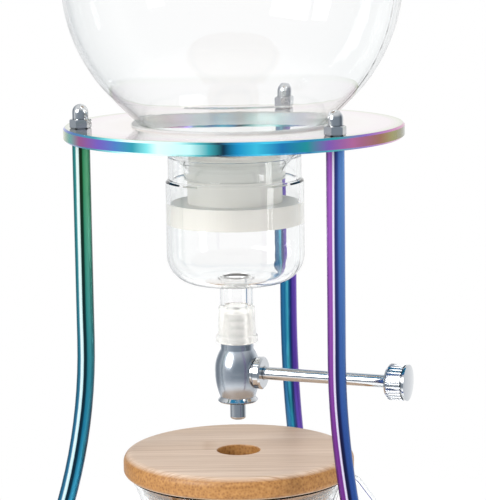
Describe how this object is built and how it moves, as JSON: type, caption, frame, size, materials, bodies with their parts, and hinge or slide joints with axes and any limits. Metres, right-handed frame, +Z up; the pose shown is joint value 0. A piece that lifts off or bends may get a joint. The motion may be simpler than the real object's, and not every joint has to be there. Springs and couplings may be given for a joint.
{
  "type": "cold drip coffee tower",
  "caption": "Three-legged stand whose round plate carries a glass globe; a cup under it drips through a metal tap into a lidded glass server.",
  "frame": {"origin": "on the floor on the tower's axis, at the middle of the server's base", "axes": "+Z up along the tower's axis; +X along the tap's stem, towards its knob; +Y to the left of that, near the back leg"},
  "size_m": [0.239, 0.2268, 0.5049],
  "materials": {
    "rainbow_steel": "polished stainless steel with a rainbow vapour-deposited coat",
    "chrome": "bright chrome",
    "satin_chrome": "satin chrome",
    "filter_steel": "fine etched mesh",
    "glass": "clear blown borosilicate",
    "bamboo": "turned laminated bamboo, oiled",
    "clear_silicone": "moulded translucent silicone",
    "grey_silicone": "moulded translucent silicone",
    "black_rubber": "moulded rubber",
    "white_packing": "turned fluoropolymer"
  },
  "bodies": {
    "stand": {"top_plate": "rainbow_steel", "leg_back": "rainbow_steel", "leg_left": "rainbow_steel", "leg_right": "rainbow_steel", "cap_nuts": "chrome", "foot_caps": "black_rubber", "seat_ring": "clear_silicone"},
    "reservoir": {"globe": "glass", "neck_bung": "grey_silicone", "drip_cup": "glass"},
    "globe_lid": {"reservoir_lid": "bamboo", "reservoir_lid_seal": "clear_silicone"},
    "valve": {"valve_body": "satin_chrome", "packing_nut": "chrome", "stem_packing": "white_packing", "inlet_spigot": "satin_chrome", "joint_sleeve": "clear_silicone", "drip_nozzle": "satin_chrome"},
    "tap": {"tap_plug": "chrome", "tap_stem": "chrome", "knob": "chrome", "set_screw": "chrome"},
    "server": {"server_jar": "glass", "server_handle": "glass", "filter_rim": "filter_steel", "coffee_filter": "filter_steel"},
    "jar_lid": {"server_lid": "bamboo", "server_lid_seal": "clear_silicone"}
  },
  "joints": [
    {"name": "reservoir_lift", "type": "slide", "parent": "stand", "child": "reservoir", "axis": [0, 0, 1], "range_m": [0, 0.1]},
    {"name": "globe_lid_lift", "type": "slide", "parent": "reservoir", "child": "globe_lid", "axis": [0, 0, 1], "range_m": [0, 0.06]},
    {"name": "valve_pull", "type": "slide", "parent": "reservoir", "child": "valve", "axis": [0, 0, -1], "range_m": [0, 0.016]},
    {"name": "tap_turn", "type": "hinge", "parent": "valve", "child": "tap", "pos_m": [0.03, 0, 0.1944], "axis": [1, 0, 0], "range_deg": [0, 90]},
    {"name": "server_slide", "type": "slide", "parent": "stand", "child": "server", "axis": [0.866, 0.5, 0], "range_m": [0, 0.2]},
    {"name": "jar_lid_lift", "type": "slide", "parent": "server", "child": "jar_lid", "axis": [0, 0, 1], "range_m": [0, 0.014]}
  ]
}
